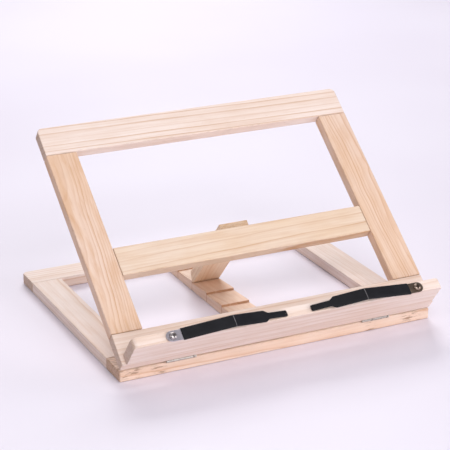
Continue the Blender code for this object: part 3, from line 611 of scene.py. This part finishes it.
def strip_piece(node, body, matrix, rise, mat):
    xs = [-1.0 - STRIP_HALF * math.cos(math.pi / 2 * k / 16) for k in range(16)] + span(-1.0, 14, 15) + span(15, 91, 38) + span(92, 98, 8) \
        + span(99, CLIP_LEN - 1.4, 8)
    bm = bmesh.new()
    rows = []
    for x in sorted(set(round(v, 5) for v in xs)):
        z, nx, nz = frame_at(x, rise)
        w, h = strip_half(x), STRIP_T / 2
        c = min(0.18, w * 0.5)
        sec = [(-1, -1, c, 0), (-1, -1, 0, c), (1, -1, 0, c), (1, -1, c, 0), (1, 1, c, 0), (1, 1, 0, c), (-1, 1, 0, c), (-1, 1, c, 0)]
        ring = []
        for sx, sy, a, b in sec:
            yy, hh = sx * (w - b), sy * (h - a)
            ring.append(bm.verts.new(Vector((x + hh * nx, yy, z + hh * nz)) * MM))
        rows.append(ring)
    for a, b in zip(rows, rows[1:]):
        for k in range(8):
            j = (k + 1) % 8
            bm.faces.new((a[k], a[j], b[j], b[k]))
    bm.faces.new(list(reversed(rows[0])))
    bm.faces.new(rows[-1])
    ob = raw(bm, "v_" + node)
    c = cutter(lambda b: add_lathe(b, [(0, -1), (2.05, -1), (2.05, 4), (0, 4)], XYZ, 32))
    bo = ob.modifiers.new("eye", "BOOLEAN")
    bo.operation = "DIFFERENCE"
    bo.solver = "EXACT"
    bo.object = c
    bake(ob, matrix, 32.0)
    bpy.data.objects.remove(c, do_unlink=True)
    ob.data.materials.clear()
    ob.data.materials.append(mat)
    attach(ob, body)
    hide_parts(node)
    return ob


def sleeve_piece(node, body, matrix, rise, mat):
    xs = span(SLEEVE_START, 14, 8) + span(15, 59, 35) + span(59.4, 61.8, 12) + span(62.4, 91, 23) + span(91.5, 99, 16) + span(100, CLIP_LEN - 2.0, 14)
    xs += [CLIP_LEN - 1.4, CLIP_LEN - 0.9, CLIP_LEN - 0.45, CLIP_LEN - 0.15, CLIP_LEN]
    bm = bmesh.new()
    outer, inner = [], []
    n = 24
    lo = xs[0]
    for x in xs:
        z, nx, nz = frame_at(x, rise)
        tip = max(0.0, (x - (CLIP_LEN - 2.0)) / 2.0)
        close = math.sqrt(max(0.0, 1.0 - tip * tip)) if x > CLIP_LEN - 2.0 else 1.0
        lip = 1.0 - 0.35 * max(0.0, 1 - (x - lo) / 0.8)
        ripple = 0.05 * math.sin(x * 0.9) + 0.04 * math.sin(x * 2.3 + 1.0)
        crease = 0.20 * math.exp(-((x - BEND_B) / 0.42) ** 2)
        w = strip_half(x) + 0.62 * (0.25 + 0.75 * close) * lip + ripple * 0.3
        h = (STRIP_T / 2 + 0.2) + 0.60 * (0.15 + 0.85 * close) * lip + ripple * 0.3 + crease
        for rows, ww, hh, pw in ((outer, w, h, 3.4), (inner, strip_half(x) + 0.1, STRIP_T / 2 + 0.12, 8.0)):
            ring = []
            for k in range(n):
                a = 2 * math.pi * (k + 0.5) / n
                ca, sa = math.cos(a), math.sin(a)
                # superellipse in width, with a flattened oval section
                yy = ww * math.copysign(abs(ca) ** (2 / pw), ca)
                hq = hh * math.copysign(abs(sa) ** (2 / pw), sa)
                ring.append(bm.verts.new(Vector((x + hq * nx, yy, z + hq * nz)) * MM))
            rows.append(ring)
    for rows in (outer, inner):
        for a, b in zip(rows, rows[1:]):
            for k in range(n):
                j = (k + 1) % n
                bm.faces.new((a[k], a[j], b[j], b[k]))
    for k in range(n):
        j = (k + 1) % n
        bm.faces.new((outer[0][k], outer[0][j], inner[0][j], inner[0][k]))
        bm.faces.new((outer[-1][k], outer[-1][j], inner[-1][j], inner[-1][k]))
    ob = raw(bm, "v_" + node)
    bake(ob, matrix, 50.0)
    ob.data.materials.clear()
    ob.data.materials.append(mat)
    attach(ob, body)
    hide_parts(node)
    return ob


def cross_outline(arm, half):
    return [(arm, -half), (arm, half), (half, half), (half, arm), (-half, arm), (-half, half),
            (-arm, half), (-arm, -half), (-half, -half), (-half, -arm), (half, -arm), (half, -half)]


def turned(node, body, matrix, profile, mat, drive=None):
    bm = bmesh.new()
    add_lathe(bm, profile, XYZ, 48)
    ob = raw(bm, "v_" + node)
    c = None
    if drive:
        arm, half, lo, hi = drive
        c = cutter(lambda b: add_prism(b, cross_outline(arm, half), lo, hi, XYZ))
        bo = ob.modifiers.new("drive", "BOOLEAN")
        bo.operation = "DIFFERENCE"
        bo.solver = "EXACT"
        bo.object = c
    bake(ob, matrix, 30.0)
    if c:
        bpy.data.objects.remove(c, do_unlink=True)
    ob.data.materials.clear()
    ob.data.materials.append(mat)
    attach(ob, body)
    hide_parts(node)
    return ob


def washer_piece(node, body, matrix, mat):
    bm = bmesh.new()
    seg = 40
    prof = [(2.15, 0.25), (2.25, 0.2), (4.3, 0.2), (4.4, 0.3), (4.4, 0.7), (4.3, 0.8), (2.25, 0.8), (2.15, 0.75)]
    rings = [[bm.verts.new(Vector((r * math.cos(2 * math.pi * k / seg), r * math.sin(2 * math.pi * k / seg), h)) * MM)
              for k in range(seg)] for r, h in prof]
    for a, b in zip(rings, rings[1:] + rings[:1]):
        for k in range(seg):
            j = (k + 1) % seg
            bm.faces.new((a[k], a[j], b[j], b[k]))
    ob = raw(bm, "v_" + node)
    bake(ob, matrix, 30.0)
    ob.data.materials.clear()
    ob.data.materials.append(mat)
    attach(ob, body)
    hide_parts(node)


PAN = [(0, -8.0), (1.7, -8.0), (1.7, 2.0), (3.3, 2.0), (3.52, 2.12), (3.6, 2.35), (3.57, 2.65), (3.4, 3.0), (3.05, 3.4),
       (2.5, 3.72), (1.8, 3.93), (0.9, 4.03), (0, 4.05)]
for side, matrix, rise, tone, seed, stain in (("left", M_CLIP_L, RISE_LEFT, (0.62, 0.58, 0.64), 3.0, 0.25),
                                               ("right", M_CLIP_R, RISE_RIGHT, (0.36, 0.27, 0.21), 8.0, 0.55)):
    body = "clip_" + side
    strip_piece("clip_%s_spring" % side, body, matrix, rise, metal("steel_clip_" + side, matrix, tone, 0.30, 0, seed, stain))
    sleeve_piece("clip_%s_sleeve" % side, body, matrix, rise, sleeve_mat("sleeve_" + side, matrix, seed))
    sm = metal("steel_clip_screw_" + side, matrix, (0.46, 0.42, 0.42) if side == "left" else (0.30, 0.23, 0.19), 0.32, 1, seed + 20, 0.35)
    turned("clip_%s_screw" % side, "easel_frame", matrix, PAN, sm, (1.9, 0.38, 2.7, 4.6))
    washer_piece("clip_%s_washer" % side, "easel_frame", matrix, sm)

# ---- finishes of the CAD pieces that keep their shape -----------------------------------
ZINC = (0.70, 0.67, 0.63)
hinge_base = metal("zinc_hinge_base", M_BASE, ZINC, 0.34, 0, 40.0, 0.90, (0.09, 0.055, 0.035))
hinge_easel = metal("zinc_hinge_easel", M_EASEL, ZINC, 0.34, 0, 43.0, 0.90, (0.09, 0.055, 0.035))
hinge_prop = metal("zinc_hinge_prop", M_PROP, ZINC, 0.34, 0, 46.0, 0.60, (0.20, 0.15, 0.11))
screw_any = metal("zinc_screws", M_BASE, (0.50, 0.47, 0.44), 0.36, 1, 49.0, 0.45, (0.16, 0.12, 0.09))
beech = wood("beech_dowels", M_BASE, RAIL_AX, (0, 0, 0), (900, 900, 900), tone="tan", spacing=1.2, pith=(0, -40), seed=52.0, late=0.35)
for name, ob in NODES.items():
    if ob.hide_render:
        continue
    mat = None
    if "dowel" in name:
        mat = beech
    elif "_screw" in name and not name.startswith("clip_"):
        mat = screw_any
    elif "leaf" in name or "pin" in name:
        mat = hinge_prop if name == "prop_hinge_leg_leaf" else (hinge_base if ("base" in name or name.endswith("_pin")) else hinge_easel)
    if mat is not None and ob.type == "MESH":
        if len(ob.material_slots) == 0:
            ob.data.materials.append(mat)
        for s in ob.material_slots:
            s.material = mat

for o in list(SCRATCH.objects):
    bpy.data.objects.remove(o, do_unlink=True)
bpy.data.collections.remove(SCRATCH)

# ---- floor ---------------------------------------------------------------------------
bm = bmesh.new()
bmesh.ops.create_grid(bm, x_segments=2, y_segments=2, size=6.0)
floor = raw(bm, "floor")
floor.location = (0, 0, -0.0002)
g = Graph("floor_pale")
fpos, _ = g.local(Matrix.Identity(4))
fn = g.noise(fpos, 2.0, 2.0, 0.5, 1.0)
ff = g.noise(fpos, 420.0, 2.0, 0.5, 2.0)
g.put(g.bsdf.inputs["Base Color"], g.mix(g.step(fn, 0.3, 0.7), rgba(lin(227, 221, 234)), rgba(lin(232, 227, 239))))
g.put(g.bsdf.inputs["Roughness"], g.m("ADD", 0.46, g.m("MULTIPLY", ff, 0.10)))
g.bsdf.inputs["Specular IOR Level"].default_value = 0.30
floor.data.materials.append(g.mat)

# ---- light -----------------------------------------------------------------------------
world = bpy.context.scene.world or bpy.data.worlds.new("studio")
bpy.context.scene.world = world
world.use_nodes = True
bg = world.node_tree.nodes.get("Background") or world.node_tree.nodes.new("ShaderNodeBackground")
bg.inputs["Color"].default_value = (0.97, 0.955, 1.0, 1.0)
bg.inputs["Strength"].default_value = 0.16


def area(name, loc, target, size, power, colour):
    d = bpy.data.lights.new(name, "AREA")
    d.shape = "RECTANGLE"
    d.size, d.size_y = size
    d.energy = power
    d.color = colour
    o = bpy.data.objects.new(name, d)
    bpy.context.scene.collection.objects.link(o)
    o.location = loc
    o.rotation_euler = (Vector(target) - Vector(loc)).to_track_quat("-Z", "Y").to_euler()
    return o


area("front_high", (-0.2, -1.5, 1.5), (0, 0, 0.05), (1.2, 0.8), 17.6, (1.0, 0.99, 1.0))
area("front_low", (-0.1, -1.9, 0.35), (0, 0, 0.08), (1.6, 0.5), 9.4, (1.0, 0.985, 0.965))
area("right_low", (1.6, -1.0, 0.5), (0, 0, 0.08), (1.0, 0.6), 13.0, (1.0, 0.99, 1.0))
area("back", (0.6, 1.6, 1.3), (0, 0, 0.0), (1.2, 0.9), 25.0, (1.0, 0.99, 1.0))
area("top", (0.1, 0.3, 1.8), (0, 0, 0), (1.6, 1.4), 7.5, (1.0, 0.99, 1.0))
area("left", (-1.6, -0.3, 0.9), (0, 0, 0.05), (1.0, 0.8), 5.3, (1.0, 0.97, 0.97))

# ---- camera ------------------------------------------------------------------------------
YAW, PITCH, ROLL = math.radians(25.99664), math.radians(-20.6173), math.radians(-0.0097)
fwd = Vector((math.sin(YAW) * math.cos(PITCH), math.cos(YAW) * math.cos(PITCH), math.sin(PITCH)))
right = Vector((math.cos(YAW), -math.sin(YAW), 0.0))
up = right.cross(fwd)
R = right * math.cos(ROLL) + up * math.sin(ROLL)
U = up * math.cos(ROLL) - right * math.sin(ROLL)
cam_d = bpy.data.cameras.new("camera")
cam_d.sensor_width = 36.0
cam_d.lens = 1641.702 / 450.0 * 36.0
cam_d.clip_end = 50.0
cam = bpy.data.objects.new("camera", cam_d)
bpy.context.scene.collection.objects.link(cam)
rot = Matrix((R, U, -fwd)).transposed().to_4x4()
cam.matrix_world = Matrix.Translation(Vector((-677.824, -1267.485 - DEPTH / 2, 667.968)) * MM) @ rot
bpy.context.scene.camera = cam
bpy.context.scene.view_settings.view_transform = "Standard"
bpy.context.scene.view_settings.look = "None"
bpy.context.scene.view_settings.exposure = 0.0
